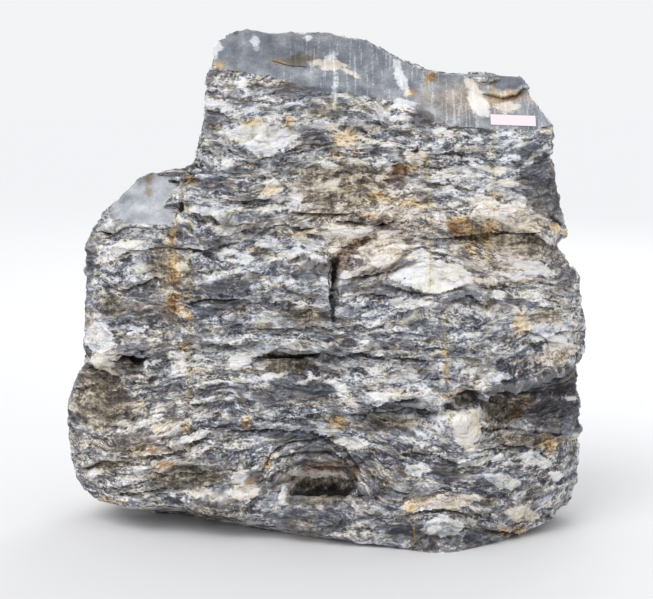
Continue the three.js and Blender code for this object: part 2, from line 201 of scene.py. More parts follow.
# %% [markdown]
# Cream calcite is the same mineral with a little iron in it. The ochre and rust marks are where
# water has carried more iron down the joints, and the olive ones are weathered clay in the
# hollows. The slate marks are plain dark rock with almost no calcite, and the dark ones are holes
# and slits that no light reaches.

# %% Cream, ochre, rust, olive, slate and dark
CREAM = {
    "orange lens": (345, 137, 11, 8, -15), "tan pale": (330, 182, 12, 5, 30),
    "tan pale right": (357, 176, 13, 4, 15), "tan pale low": (372, 188, 9, 4, -20),
    "facet": (329, 66, 19, 4, -6), "facet tail": (352, 73, 8, 2.6, -25),
    "facet vein": (472, 86, 12, 5, -48), "under the ochre": (508, 108, 14, 5, -5),
    "orange end": (360, 137, 6, 3.6, 0), "orange start": (331, 126, 7, 4, -25),
    "pebble": (416, 156, 11, 8, 20), "row 160": (357, 160, 10, 3, -3), "row 188": (322, 188, 12, 3.6, 8),
    "spot 187": (273, 187, 9, 7, 0), "spot 170": (499, 170, 7, 4.5, 0), "spot 183": (510, 183, 10, 4, 0),
    "zone 213": (483, 213, 10, 7, 0), "zone 216": (498, 216, 8, 6, 0), "zone 208": (511, 208, 8, 5, 0),
    "zone 200": (480, 201, 16, 4, -3), "row 234": (305, 234, 13, 2.6, 8), "pebbles": (381, 251, 23, 14, 15),
    "row 244": (125, 244, 26, 2.6, 3), "row 257": (120, 257, 22, 2.4, 12),
    "left block": (105, 360, 12, 9, -40), "row 382": (213, 382, 10, 2.6, 8),
    "right face": (556, 353, 20, 11, 20), "round": (465, 430, 14, 19, 5), "row 402": (349, 402, 11, 5, -20),
    "foot": (450, 502, 37, 6.5, 6), "foot left": (416, 503, 14, 7, 20), "foot right": (525, 514, 20, 7, -8),
    "by the cave": (245, 492, 13, 9, 10), "over the cave": (273, 456, 6, 5, 20),
    "row 454": (551, 454, 9, 2.4, -25), "row 283": (489, 282, 14, 4, -5),
    "pink 366": (180, 366, 9, 4.4, -8), "left wall": (89, 395, 5, 12, 0), "low left": (200, 492, 14, 4, 0),
    "row 430": (90, 422, 7, 4, 0), "cave back": (316, 473, 26, 4.5, -3),
}
OCHRE = {
    "left edge": (217, 64, 4, 3, 15), "facet": (277, 62, 5, 2, -10), "lens": (345, 137, 12, 9, -15),
    "row 156": (336, 156, 8, 2.6, -8), "row 154": (355, 154, 3.4, 2.2, 0),
    "upper lens": (253, 123, 9, 3.6, 10), "upper lens right": (289, 121, 7, 6, 0),
    "spot 189": (271, 189, 5, 4, 0), "spot 165": (250, 165, 5, 3, 0), "facet right": (431, 76, 5, 3, 90),
    "spot 91": (411, 91, 4, 3, 0), "band": (507, 97, 18, 3.2, 4), "joint head": (191, 180, 5, 5, 45),
    "joint": (173, 236, 12, 4, 85), "yellow": (158, 250, 6, 3.2, 20), "mass": (174, 268, 15, 5, 88),
    "mass foot": (175, 280, 6, 4.6, 0), "spot 296": (174, 297, 7, 5, 0), "wedge": (172, 307, 10, 9, 0),
    "joint foot": (187, 317, 4, 4, 0), "recess": (460, 227, 14, 9, -15),
    "recess right": (488, 230, 8, 8, 0), "recess foot": (470, 249, 8, 4, -45), "notch": (567, 233, 4, 3, 0),
    "notch left": (556, 229, 5, 5, 0), "right patch": (521, 324, 13, 7, 90),
    "row 234": (302, 232, 10, 2, 5), "gash": (358, 243, 10, 3.6, 25), "row 196": (376, 196, 8, 3.2, 0),
    "row 204": (411, 204, 19, 2.8, -10), "mustard": (372, 216, 13, 2.8, 3),
    "rust halo": (405, 168, 11, 5, 15), "spot 347": (183, 347, 5, 4.6, 0), "row 289": (282, 289, 7, 1.6, 0),
    "spot 424": (246, 424, 4, 5, -30), "spot 428": (185, 428, 4, 4, 0), "spot 405": (139, 405, 5, 3.6, 0),
    "row 450": (150, 450, 9, 2.2, 3), "row 466": (163, 466, 9, 3.6, 5), "triangle": (338, 422, 8, 7, 0),
    "foot": (411, 507, 8, 5, 80), "hook": (445, 396, 8, 1.8, 20), "slot": (513, 529, 15, 2, -3),
    "foot left": (109, 502, 8, 3, -15), "mustard 444": (550, 445, 10, 6, -10),
    "mustard 400": (524, 400, 9, 3.6, 0), "cave": (268, 466, 6, 4, 45), "foot cream": (422, 502, 9, 3, 20),
    "middle spot": (446, 375, 6, 2, 90), "row 236": (446, 352, 6, 2, 10),
}
RUST = {
    "blob": (401, 174, 10, 6, 25), "gash": (346, 254, 11, 4.6, 22), "band": (515, 97, 9, 2.4, 15),
    "row 224": (382, 224, 7, 3, 5), "row 466": (165, 465, 6, 2.6, 0), "row 481": (254, 481, 7, 4, 20),
    "slot": (512, 532, 13, 2, -3), "joint top": (432, 76, 3, 4, 0), "recess": (455, 229, 7, 5, -20),
    "wedge": (172, 304, 5, 6, 0), "recess right": (520, 409, 6, 8, 0), "foot": (413, 530, 9, 1.6, 90),
    # The cave roof mark is painted shadow under the roof of the cave, in dark brown.
    "cave roof": (331, 466, 22, 3.5, 2), "cave wall": (354, 475, 10, 2.5, 80),
    "crack head": (338, 268, 8, 4.5, 55),
}
OLIVE = {
    "hollow 288": (288, 362, 27, 13, 3), "hollow 130": (130, 363, 14, 10, 0),
    "hollow 97": (97, 377, 19, 12, 0), "left mass": (99, 402, 27, 24, 0), "tan 411": (127, 411, 8, 8, 0),
    "right recess": (501, 411, 20, 17, 0), "small hollow": (465, 398, 9, 8, 0),
    "long hollow": (392, 423, 32, 7, 0), "cave bands": (322, 483, 28, 5, -3),
    "pillar": (290, 495, 10, 5, 85), "cave floor": (322, 499, 24, 8, 0),
    "tan middle": (345, 186, 44, 22, 5), "ledge 213": (318, 212, 26, 4, 3),
    "row 223": (238, 223, 16, 3, -3), "row 251": (260, 251, 11, 4.4, -8), "row 105": (339, 105, 18, 3.4, 3),
    "row 110": (320, 111, 10, 4.4, 0), "row 126": (214, 126, 11, 4.6, 0), "joint": (170, 268, 21, 17, 0),
    "left 306": (114, 306, 18, 8, 0), "right 317": (545, 317, 17, 9, 0), "recess": (480, 229, 32, 13, -8),
    "below the recess": (520, 244, 30, 9, -6), "low band": (525, 440, 42, 8, -2),
    "tan 449": (135, 450, 23, 3.6, 2), "row 466": (105, 466, 18, 5, 5), "lower left": (190, 478, 42, 11, 5),
    "slot": (512, 531, 16, 3, -3), "dot 502": (492, 502, 6, 6, 0), "facet stain": (297, 60, 17, 6, 5),
    "row 483": (386, 483, 8, 5, 0), "row 316": (307, 316, 23, 9, 0), "stripe": (149, 181, 14, 4, 90),
    "row 186": (330, 170, 30, 5, 0),
}
SLATE = {
    "plain 393": (295, 393, 38, 11, 6), "foot": (311, 521, 33, 12, -3), "side": (541, 182, 42, 17, -70),
    "wedge": (568, 378, 18, 9, 50), "right recess": (558, 417, 28, 17, 0), "lens 137": (312, 137, 14, 5, 5),
    "lens 115": (338, 115, 10, 6, 0), "plain 271": (312, 271, 18, 9, 20),
    "arc 265": (383, 267, 30, 3.6, 20), "row 289": (372, 289, 30, 5.5, -5), "arch": (464, 297, 18, 6, 15),
    "lens 301": (515, 301, 13, 6, -15), "left edge": (89, 255, 26, 5, 85), "row 285": (226, 285, 22, 5, 5),
    "row 307": (220, 307, 18, 5, 20), "low 471": (446, 471, 14, 12, -10), "row 403": (397, 403, 21, 5, 15),
    "square": (402, 527, 13, 6, 0), "foot right": (482, 538, 17, 12, 20),
    "left corner": (208, 82, 9, 5, 90), "left 116": (212, 116, 10, 6, 0), "row 198": (250, 198, 18, 3, -3),
    "row 221": (347, 221, 10, 3, 0), "row 91": (310, 92, 40, 6, -3), "row 180": (215, 185, 20, 8, 0),
    "right edge": (568, 275, 14, 8, 60), "row 435": (300, 437, 32, 5, -4), "row 130": (420, 118, 16, 7, 0),
    "knob": (507, 84, 17, 8, 0),
}
DARK = {
    "cave slit": (323, 490, 29, 5.2, 2), "pebble hole": (417, 150, 5, 2, 35),
    "notch": (559, 222, 7, 2.6, -30), "small hollow": (467, 394, 8, 2.8, 0),
    "left hollow": (131, 358, 12, 2.6, 5), "hollow roof": (288, 353, 25, 2, 2),
    "right hollow": (512, 393, 22, 2.4, 4), "open crack": (332.4, 293, 26, 1.7, 91),
    "crack head": (333.5, 277, 12, 2.3, 87), "pit": (383, 226, 4, 3.4, 0),
    "shoulder joint": (178, 209, 7, 1.4, 70), "left notch": (100, 372, 9, 2.2, -10),
}
print("coloured and dark lenses:", sum(map(len, (CREAM, OCHRE, RUST, OLIVE, SLATE, DARK))))

# %% [markdown]
# Joints are straight cracks that cut through the bedding, and each shows as a thin ochre line.
# Ledges are the lips of harder beds: what lies under a lip is cut back and in shadow. Both are
# lines of a few points. A ledge also says how far its lip stands out and how far the rock below
# it is cut back, in millimetres.

# %% Joints, cracks and ledges
JOINTS = {
    "shoulder": [(190, 182), (188, 250), (190, 330), (188, 398), (189, 440)],
    "shoulder foot": [(186, 184), (180, 200), (175, 218), (172, 240)], "far left": [(115, 322), (115, 377)],
    "middle": [(427, 75), (426, 182), (430, 205), (430, 290)],
    "right": [(493, 78), (494, 211), (489, 250), (490, 308)], "right foot": [(475, 350), (475, 415)],
    "inner right": [(444, 310), (445, 350), (447, 380)], "foot": [(414, 512), (414, 540)],
    "foot right": [(453, 505), (453, 537)], "slant": [(360, 382), (368, 371), (377, 364)],
    "slant left": [(240, 393), (248, 418), (246, 424)],
    "facet crack": [(431, 77), (441, 82), (457, 85), (464, 91)],
    "zigzag": [(331, 432), (331, 438), (332, 447), (340, 457), (350, 462)],
    "triangle": [(326, 430), (341, 414), (348, 430)], "round left": [(452, 409), (448, 424)],
    "round right": [(473, 414), (478, 425), (478, 433)],
}
# These cracks are painted nearly black below: painted shade in open cracks and in the thin shadow lines
# under the facet's edge.
CRACKS = {
    "facet": [(273, 61), (288, 65.5), (306, 67)], "shadow 77": [(260, 80), (269, 75)],
    "under the facet": [(452, 128), (472, 128)], "pebble": [(414, 151), (421, 147)],
    "notch": [(552, 218), (563, 226)], "shoulder 208": [(179, 203), (176, 217)],
    "row 231": [(493, 229), (510, 232), (535, 233)],
}
LEDGES = {
    "knob": ([(489, 94), (503, 98), (517, 95), (523, 89)], 7, 6),
    "under the shoulder": ([(107, 231), (130, 227), (151, 226), (172, 227)], 8, 18),
    "left 211": ([(193, 211), (207, 213), (220, 220), (252, 224)], 10, 12),
    "leaf": ([(262, 226), (280, 224), (304, 228)], 8, 10),
    "left 246": ([(174, 245), (205, 247), (230, 242)], 8, 10),
    "left 255": ([(119, 256), (130, 250), (160, 247)], 6, 8), "left 288": ([(127, 288), (155, 277)], 6, 9),
    "left 299": ([(190, 302), (213, 296), (244, 299), (274, 301)], 6, 8),
    "left 343": ([(187, 342), (220, 343), (259, 341)], 6, 9),
    "hollow roof": ([(256, 357), (273, 351), (296, 349), (316, 351)], 5, 12),
    "middle 352": ([(293, 350), (340, 354), (360, 351), (378, 356)], 6, 10),
    "right 355": ([(392, 355), (431, 361)], 5, 8),
    "fold": ([(254, 329), (301, 328), (314, 324), (332, 328)], 6, 8),
    "big right": ([(484, 398), (500, 391), (525, 387), (566, 371), (584, 347)], 10, 16),
    "right 239": ([(429, 237), (464, 235), (493, 231), (535, 234), (548, 243)], 7, 12),
    "pebbles": ([(345, 277), (372, 274), (390, 270), (408, 260)], 6, 10),
    "white foot": ([(390, 284), (410, 292), (440, 293), (466, 285)], 5, 7),
    "left block": ([(91, 361), (103, 371), (115, 374)], 8, 12),
    "left hollow": ([(117, 360), (128, 353), (143, 356)], 8, 14),
    "left 386": ([(80, 388), (92, 384)], 5, 12),
    "left 426": ([(232, 430), (267, 426), (300, 428), (330, 436)], 8, 8),
    "left 493": ([(125, 493), (163, 488)], 5, 8), "left 442": ([(172, 446), (200, 438)], 6, 9),
    "left 460": ([(85, 467), (105, 459), (121, 461)], 6, 10),
    "left 455": ([(128, 457), (152, 456), (185, 450)], 5, 7),
    "long hollow": ([(361, 413), (392, 410), (416, 406), (434, 409)], 6, 12),
    "right 434": ([(487, 428), (510, 425), (537, 430), (559, 434)], 7, 10),
    "right 452": ([(480, 452), (500, 444), (530, 447)], 5, 7),
    "right 451": ([(418, 451), (440, 455), (457, 462), (484, 456)], 6, 8),
    "foot 495": ([(357, 495), (392, 487), (420, 495)], 6, 9),
    "foot 514": ([(413, 513), (440, 507), (470, 514)], 5, 7),
    "slot": ([(491, 529), (510, 533), (528, 533)], 5, 10),
    "cave roof": ([(276, 458), (300, 451), (330, 451), (352, 464)], 5, 8),
    "cave lip": ([(284, 470), (300, 476), (330, 473), (350, 478)], 5, 7),
    "cave outer": ([(262, 470), (270, 452), (290, 441), (322, 437), (345, 446), (356, 462)], 6, 6),
    "middle 198": ([(232, 199), (250, 200), (266, 198)], 5, 7),
    "middle 213": ([(296, 212), (320, 214), (342, 213)], 6, 9),
    "middle 221": ([(338, 222), (357, 222)], 4, 7), "middle 227": ([(375, 226), (390, 222)], 4, 8),
    "upper 150": ([(250, 156), (279, 155), (301, 143), (321, 142)], 6, 8),
    "upper 117": ([(205, 109), (220, 112), (230, 118)], 4, 6),
    "right 169": ([(436, 154), (452, 151), (480, 153)], 4, 5),
    "right 187": ([(436, 183), (452, 184), (470, 190)], 5, 7),
    "wedge": ([(556, 384), (566, 370), (580, 358)], 5, 8),
    "dark arch": ([(440, 312), (452, 300), (470, 295), (484, 305)], 6, 8),
    "right 326": ([(528, 330), (545, 336), (560, 331), (582, 329)], 5, 7),
    "right 343": ([(536, 343), (546, 338), (556, 343)], 4, 9),
    "low 409": ([(377, 405), (395, 401), (416, 398)], 5, 8),
    "low 484": ([(150, 470), (170, 474), (200, 472)], 5, 7), "low 500": ([(148, 497), (160, 493)], 5, 10),
    "arch 297": ([(345, 296), (372, 292), (392, 297)], 4, 6),
}
print("joints:", len(JOINTS), " ledges:", len(LEDGES))

# %% [markdown]
# Whole areas of the stone are lighter or darker, warmer or cooler than the rest, with no edge:
# partly the rock's own tone and partly painted shade, darker in the recesses, over and in the cave,
# under overhangs and towards the foot. Each is a soft round zone: column, row, half width, half
# height, how many steps of a screen's 255 it is lighter, and how many steps its red stands further
# above its blue.

# %% Light and warm zones
# The darker zones in recesses, over and in the cave, under overhangs and at the foot are painted shade.
ZONES = {
    "shoulder": (150, 200, 35, 25, 30, 0), "under the shoulder": (140, 255, 35, 25, 50, 0),
    "top of the facet": (300, 50, 70, 15, -20, 0), "facet right": (470, 100, 45, 15, 0, 30),
    "knob": (507, 84, 18, 10, 20, -10), "side": (515, 145, 35, 20, 0, -20),
    "upper left": (235, 120, 30, 15, 40, -10), "upper pale": (295, 120, 30, 15, 30, 0),
    "left joint": (205, 210, 30, 20, 40, 0), "left joint mass": (165, 290, 20, 40, 0, 20),
    "tan middle": (340, 190, 50, 20, 30, 30), "white rows": (435, 200, 35, 25, 20, 0),
    "right of the recess": (505, 220, 35, 25, 30, 10), "recess foot": (500, 240, 40, 30, 0, 50),
    "pebbles": (370, 220, 50, 35, 0, 50), "great lens": (430, 290, 80, 20, 10, 0),
    "right of the lens": (510, 265, 50, 20, 20, 10), "left dark": (220, 290, 30, 20, -40, -10),
    "left shadow": (205, 320, 25, 15, -30, 0), "by the wedge": (155, 310, 30, 25, -40, 0),
    "fan": (230, 355, 45, 15, 40, 0), "around the hollow": (280, 340, 25, 20, 30, 0),
    "right face": (540, 325, 40, 15, 80, 0), "under the face": (560, 355, 25, 12, -40, 0),
    "blue rows": (450, 350, 30, 20, -10, -10), "middle shadow": (330, 360, 35, 20, -50, 0),
    "middle right": (395, 380, 30, 15, 60, 0), "by the left hollow": (150, 380, 20, 15, -60, 0),
    "left rows": (190, 370, 20, 20, 40, 10), "right recess": (540, 385, 40, 20, -90, 0),
    "left pit": (210, 405, 20, 12, -50, 0), "plain slate": (255, 425, 75, 15, -20, -10),
    "lower left": (140, 440, 60, 40, 0, 20), "round": (440, 430, 30, 15, 50, 0),
    "over the cave": (330, 457, 90, 12, -40, 0), "cave": (315, 474, 35, 8, 30, 40),
    "cave roof": (332, 465, 24, 5, -60, 0), "right of the cave": (400, 480, 30, 15, -30, 0),
    "lower right": (490, 485, 30, 15, -50, 0), "left foot": (215, 510, 25, 12, -50, 10),
    "foot rows": (400, 510, 45, 12, -20, 0), "foot": (430, 535, 35, 12, -50, 0),
    "right foot": (510, 510, 20, 15, -20, 0),
}
print("zones:", len(ZONES))

# %% [markdown]
# The beds aren't level. They rise to the right at the lower left, arch over the cave, dome over
# the great right lens and sag here and there. A bed's height is the height of a point less what
# the beds have been lifted there, and everything that follows the bedding uses it.

# %% Height in the bedding
SWELLS = {  # column, row, half width and half height in pixels, lift in metres
    "cave arch": (318, 455, 60, 45, 0.07), "great lens dome": (430, 262, 62, 42, 0.045),
    "leaf": (300, 245, 45, 28, 0.022), "recess sag": (495, 250, 55, 30, -0.03),
    "right fold": (545, 330, 40, 40, 0.04), "shoulder": (140, 240, 50, 35, 0.025),
    "foot fold": (445, 520, 40, 30, 0.035), "foot sag": (505, 525, 35, 30, -0.03),
    "tan dome": (345, 190, 60, 30, 0.03), "round lens": (465, 440, 32, 30, -0.03),
    "upper sag": (265, 150, 50, 25, -0.02), "hollow arch": (288, 350, 45, 25, 0.02),
}
RISE = {"column": 165, "row": 430, "wide": 90, "tall": 75, "slope": 0.3}  # the lower left
DIP = {"column": 500, "row": 260, "wide": 90, "tall": 60, "slope": -0.16}
WAVE = (0.012, 0.30, 0.24)  # lift, length and height of a wave, metres
RIPPLE = (0.007, 0.10, 0.07)
WRINKLE = (0.0025, 0.036, 0.03)


def bedding(points, column, row, front):
    """Height in the bedding of each point, in metres."""
    x, y, z = points.T
    lift = np.zeros(len(points))
    for at_column, at_row, wide, tall, most in SWELLS.values():
        lift += most * np.exp(-(((column - at_column) / wide) ** 2) - ((row - at_row) / tall) ** 2)
    for area in (RISE, DIP):
        aside = (column - area["column"]) / area["wide"]
        near = np.exp(-(aside**2) - ((row - area["row"]) / area["tall"]) ** 2)
        lift += area["slope"] * PIXEL * area["wide"] * aside * near
    lift *= front
    for seed, (most, long, high) in enumerate((WAVE, RIPPLE, WRINKLE)):
        lift += most * noise(x / long + 5 * seed, y / long, z / high)
    return z - lift


print("swells of the beds:", len(SWELLS))


# %% [markdown]
# ## The broken surface
#
# The plain solid is copied and rebuilt from small even squares by the voxel remesher. Even squares
# matter: every vertex can then be moved on its own without long thin triangles. The mesh could
# be subdivided instead, but that would keep the uneven facets of the solid.

# %% Copy the solid and remesh it
VOXEL = 0.0044


def applied(piece):
    """The piece's mesh with its modifiers applied."""
    shown = piece.evaluated_get(bpy.context.evaluated_depsgraph_get())
    mesh = bpy.data.meshes.new_from_object(shown)
    piece.modifiers.clear()
    piece.data = mesh
    return mesh


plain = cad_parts["stone"].data.copy()
welder = bmesh.new()
welder.from_mesh(plain)
bmesh.ops.remove_doubles(welder, verts=welder.verts, dist=1e-6)
welder.to_mesh(plain)
welder.free()
plain.materials.clear()
marble = bpy.data.objects.new("marble_block", plain)
bpy.context.scene.collection.objects.link(marble)
remesh = marble.modifiers.new("even squares", "REMESH")
remesh.mode = "VOXEL"
remesh.voxel_size = VOXEL
surface = applied(marble)
print("squares:", len(surface.polygons))


# %% Read the surface into arrays
def vertex_array(mesh, what):
    """The places or the normals of a mesh's vertices."""
    values = np.empty(len(mesh.vertices) * 3, np.float32)
    if what == "place":
        mesh.vertices.foreach_get("co", values)
    else:
        mesh.vertex_normals.foreach_get("vector", values)
    return values.reshape(-1, 3).astype(float)


def neighbour_mean(values, edges, times):
    """Blurs vectors over the mesh: each vertex takes the mean of itself and its neighbours."""
    first, second = edges.T
    count = np.bincount(first, minlength=len(values)) + np.bincount(second, minlength=len(values)) + 1
    for _ in range(times):
        total = values.copy()
        for axis in range(3):
            total[:, axis] += np.bincount(first, values[second, axis], len(values))
            total[:, axis] += np.bincount(second, values[first, axis], len(values))
        values = total / count[:, None]
    return values


def edge_array(mesh):
    """The numbers of the two vertices of each edge."""
    ends = np.empty(len(mesh.edges) * 2, np.int32)
    mesh.edges.foreach_get("vertices", ends)
    return ends.reshape(-1, 2)


# A vertex belongs to the front if it faces the camera, or if it is in the front half of the stone
# and doesn't face an end, such as the floor of a hollow.
place = vertex_array(surface, "place")
edges = edge_array(surface)
outward = neighbour_mean(vertex_array(surface, "normal"), edges, 6)
outward /= np.linalg.norm(outward, axis=1)[:, None]
column, row = seen_at(place)
faces_front = ease(0.1, -0.3, outward[:, 1])
in_hollow = ease(0.05, -0.05, place[:, 1]) * ease(0.9, 0.7, np.abs(outward[:, 0]))
front = np.maximum(faces_front, in_hollow)
bed = bedding(place, column, row, front)
x, y, z = place.T
print("vertices:", len(place))

# %% [markdown]
# Two smooth facets have no broken surface: the slanting one along the top and the one on the
# shoulder. Their lower edges are lines in the photograph, and above those lines the relief is
# almost nothing.

# %% Smooth facets
TOP_EDGE = [(196, 62), (216, 66), (235, 71), (262, 76), (285, 80), (300, 86), (313, 91), (345, 93),
            (372, 96), (398, 101), (416, 109), (440, 125), (490, 129), (535, 130), (552, 124)]
SHOULDER_EDGE = [(84, 240), (104, 230), (130, 224), (172, 225), (180, 206), (187, 186), (191, 160)]
SHOULDER_END = (200, 194)  # columns between which the shoulder's facet fades in, from the right


def above(line, soft):
    """1 above a line of the photograph, 0 below it."""
    columns, rows = zip(*line)
    inside = ease(columns[0] - soft, columns[0], column) * ease(columns[-1] + soft, columns[-1], column)
    return inside * ease(soft, -soft, row - np.interp(column, columns, rows))


top_facet = above(TOP_EDGE, 3) * ease(-0.4, -0.6, outward[:, 1]) * ease(0.35, 0.5, outward[:, 2])
shoulder_facet = above(SHOULDER_EDGE, 3) * ease(-0.4, -0.6, outward[:, 1]) * ease(0.3, 0.45, outward[:, 2])
shoulder_facet *= ease(*SHOULDER_END, column)
facet = np.clip(top_facet + shoulder_facet, 0, 1)
print("share of smooth facet:", facet.mean().round(3))

# %% [markdown]
# Every mark becomes a field: for each vertex, how far inside the nearest mark it is. Fields blend
# smoothly from vertex to vertex, so the material can cut a crisp edge through them that is
# finer than the mesh.


# %% Fields of marks
FAR = 0.05  # metres, the outside value of every field
RAGGED = ((2.4, 0.055, 0.032), (1.5, 0.021, 0.014), (0.7, 0.010, 0.008))  # pixels, metres, metres
LENS_POWER = 1.55  # 2 gives an ellipse, less gives pointed ends
LENS_GROWTH = 1.12  # makes up for the tips that the pointed ends lose


def wavering(values, seed):
    """Pixel places moved about a little, so that no mark keeps a drawn outline."""
    for most, long, tall in RAGGED:
        values = values + most * noise(x / long + seed, y / long, bed / tall)
    return values


def lens_field(marks, columns, rows, unit):
    """How far inside the nearest lens each point is, in metres. Negative means outside."""
    deepest = np.full(len(columns), -FAR)
    for at_column, at_row, long, tall, rise in marks:
        turn = math.radians(rise)
        right, up = columns - at_column, at_row - rows
        along = np.abs(right * math.cos(turn) + up * math.sin(turn)) / (long * LENS_GROWTH)
        across = np.abs(up * math.cos(turn) - right * math.sin(turn)) / (tall * LENS_GROWTH)
        reach = (along**LENS_POWER + across**LENS_POWER) ** (1 / LENS_POWER)
        deepest = np.maximum(deepest, (1 - reach) * min(long, tall) * unit)
    return deepest


def line_field(line):
    """Signed distance from a line of the photograph, in metres."""
    columns, rows = zip(*line)
    upright = abs(rows[-1] - rows[0]) > abs(columns[-1] - columns[0])
    along, across = (row, column) if upright else (column, row)
    marks, places = (rows, columns) if upright else (columns, rows)
    aside = across - np.interp(along, marks, places)
    past_end = np.maximum(0, np.maximum(marks[0] - along, along - marks[-1]))
    return np.where(aside < 0, -1, 1) * np.hypot(aside, past_end) * PIXEL


def on_front(field, outside):
    """Keeps a field on the front and gives the rest of the stone its outside value."""
    return front * field + (1 - front) * outside


def zone_field(part):
    """The zones' lightness (part 4) or warmth (part 5) at each vertex, in screen steps."""
    total = np.zeros(len(place))
    for zone in ZONES.values():
        aside, above_it = (column - zone[0]) / zone[2], (row - zone[1]) / zone[3]
        total += zone[part] * np.exp(-(aside**2) - above_it**2)
    return front * total


fields = {"lighter": zone_field(4), "warmer": zone_field(5)}
wavering_column = wavering(column, 0)
wavering_row = wavering(row, 50)
KINDS = {"white": WHITE, "cream": CREAM, "ochre": OCHRE, "rust": RUST, "olive": OLIVE, "slate": SLATE,
         "dark": DARK}
for name, marks in KINDS.items():
    fields[name] = on_front(lens_field(marks.values(), wavering_column, wavering_row, PIXEL), -FAR)
print("share of white:", (fields["white"] > 0).mean().round(3))

# %% [markdown]
# A line's field has a sign, so that it passes smoothly through zero on the line. Two lines that lie
# close together would upset each other's signs, so each line goes into the first group in which
# it has no near neighbour.

# %% Fields of lines
APART = 30  # pixels between the lines of a group


def line_groups(kind, lines):
    """Fields of groups of lines, named after the kind."""
    groups = []
    for line in lines.values():
        spots = np.array(line)
        for members in groups:
            gaps = [np.linalg.norm(spots[:, None] - np.array(other), axis=2).min() for other in members]
            if min(gaps) > APART:
                members.append(line)
                break
        else:
            groups.append([line])
    for number, members in enumerate(groups):
        nearest = np.full(len(column), FAR)
        for line in members:
            field = line_field(line)
            nearest = np.where(np.abs(field) < np.abs(nearest), field, nearest)
        fields[f"{kind}_{number}"] = on_front(nearest, FAR)
    return [f"{kind}_{number}" for number in range(len(groups))]


joint_fields = line_groups("joint", JOINTS)
crack_fields = line_groups("crack", CRACKS)
print("line fields:", joint_fields + crack_fields)

# %% [markdown]
# The photograph doesn't show the ends and the rear, so their marks are strewn by a seeded
# generator: the same kinds, about as large and about as many as on the front.

# %% Marks of the ends and the rear
STREWN = {"white": (70, 0.075, 0.018), "cream": (34, 0.06, 0.016), "ochre": (34, 0.035, 0.012),
          "rust": (10, 0.03, 0.01), "olive": (30, 0.11, 0.03), "slate": (24, 0.13, 0.035)}
END_WIDE = 0.7  # metres
UNEVEN_LIGHT, UNEVEN_WARMTH = 34, 20  # screen steps, for what the zones do on the front
rear_part = 1 - front  # the ends and the rear
rear = ease(-0.1, 0.25, outward[:, 1])
end = np.clip(rear_part - rear, 0, 1)
dice = np.random.default_rng(7)


def strewn_marks(number, long, tall, width):
    """Lenses in metres. Heights are negative, because rows are counted downwards."""
    marks = []
    for _ in range(number):
        size = dice.uniform(0.45, 1.4)
        marks.append((dice.uniform(-width / 2, width / 2), -dice.uniform(0, stone_high[2]), long * size,
                      tall * size * dice.uniform(0.7, 1.3), dice.uniform(-12, 12)))
    return marks


for name, (number, long, tall) in STREWN.items():
    behind = lens_field(strewn_marks(number, long, tall, stone_high[0] * 2), place[:, 0], -bed, 1)
    beside = lens_field(strewn_marks(number // 2, long / 2, tall, END_WIDE), place[:, 1], -bed, 1)
    fields[name] = front * fields[name] + rear * behind + end * beside
fields["lighter"] += rear_part * UNEVEN_LIGHT * rough_noise(x / 0.35, y / 0.35, bed / 0.11, 2)
fields["warmer"] += rear_part * UNEVEN_WARMTH * rough_noise(x / 0.30 + 9, y / 0.30, bed / 0.14, 2)
print("share of white, all round:", (fields["white"] > 0).mean().round(3))

# %% [markdown]
# ### Relief
#
# Five kinds of relief are added up, each in millimetres of height above the plain solid: the
# placed ledges, rows of overlapping slabs that follow the bedding, chips, fine roughness, and the
# marks, some of which stand out while others sink. The rear has larger slabs and chips too. A slab
# stands out most at its lower edge, as the real ones do, so that light from above leaves a thin
# shadow under each.


# %% Ledges
LIP_TALL, UNDER_TALL = 0.05, 0.034  # how far a lip reaches up and its cut reaches down, metres
LIP_EDGE = 0.016  # the droop reaches this far up and the shadow this far down, metres
LIP_END = 12  # pixels over which a ledge dies out
MILLIMETRE = 0.001


def ledge_relief():
    """Relief of the placed ledges, how far each vertex droops with its lip, and the painted shadow below."""
    relief = np.zeros(len(place))
    droop = np.zeros(len(place))
    shade = np.zeros(len(place))
    for line, out, under in LEDGES.values():
        columns, rows = zip(*line)
        inside = ease(columns[0] - LIP_END, columns[0] + 2, column)
        inside = inside * ease(columns[-1] + LIP_END, columns[-1] - 2, column) * front
        waver = 1.2 * noise(column / 9, 3, row / 14)
        high = (np.interp(column, columns, rows) + waver - row) * PIXEL
        lip = np.where(high > 0, np.clip(1 - high / LIP_TALL, 0, 1), 0)
        cut = np.where(high <= 0, np.clip(1 + high / UNDER_TALL, 0, 1), 0)
        relief += inside * (out * lip**1.5 - under * cut**1.2) * MILLIMETRE
        edge = np.where(high > 0, np.clip(1 - high / LIP_EDGE, 0, 1), 0)
        droop += inside * out * 0.5 * edge * MILLIMETRE
        shadow = np.where(high <= 0, np.clip(1 + high / LIP_EDGE, 0, 1), 0)
        shade = np.maximum(shade, inside * shadow)
    return relief, droop, shade


relief, droop, shade = ledge_relief()
print("deepest cut, mm:", (relief.min() / MILLIMETRE).round(1))


# %% Rows of slabs
def slabs(tall, long, seed, lean=0.5):
    """Slabs that follow the bedding: how far each stands out, from -1 to 1, most at its lower edge."""
    height = bed / tall + 1.1 * noise(x / (2 * long) + seed, y / (2 * long), bed / (5 * tall))
    height = height + 0.45 * noise(x / (0.6 * long), y / long + seed, bed / (2 * tall))
    number = np.floor(height)
    share = height - number
    own = noise(x / long + 3.7 * number, y / long + seed, 9.13 * number)
    below = noise(x / long + 3.7 * (number - 1), y / long + seed, 9.13 * (number - 1))
    foot = ease(0.0, 0.16, share)
    there = ease(-0.35, 0.25, noise(x / (0.9 * long) + seed, y / long, bed / (1.6 * tall) + 7))
    return foot * (own + lean * there * (1 - share)) + (1 - foot) * below


# %% [markdown]
# Chips are what is left where a piece has flaked off: flat, tilted, with sharp edges. Space is
# divided among scattered points, and each point's share is given its own plane. This is a
# Voronoi pattern, in the bedding space again so that the chips are longer than they are tall.


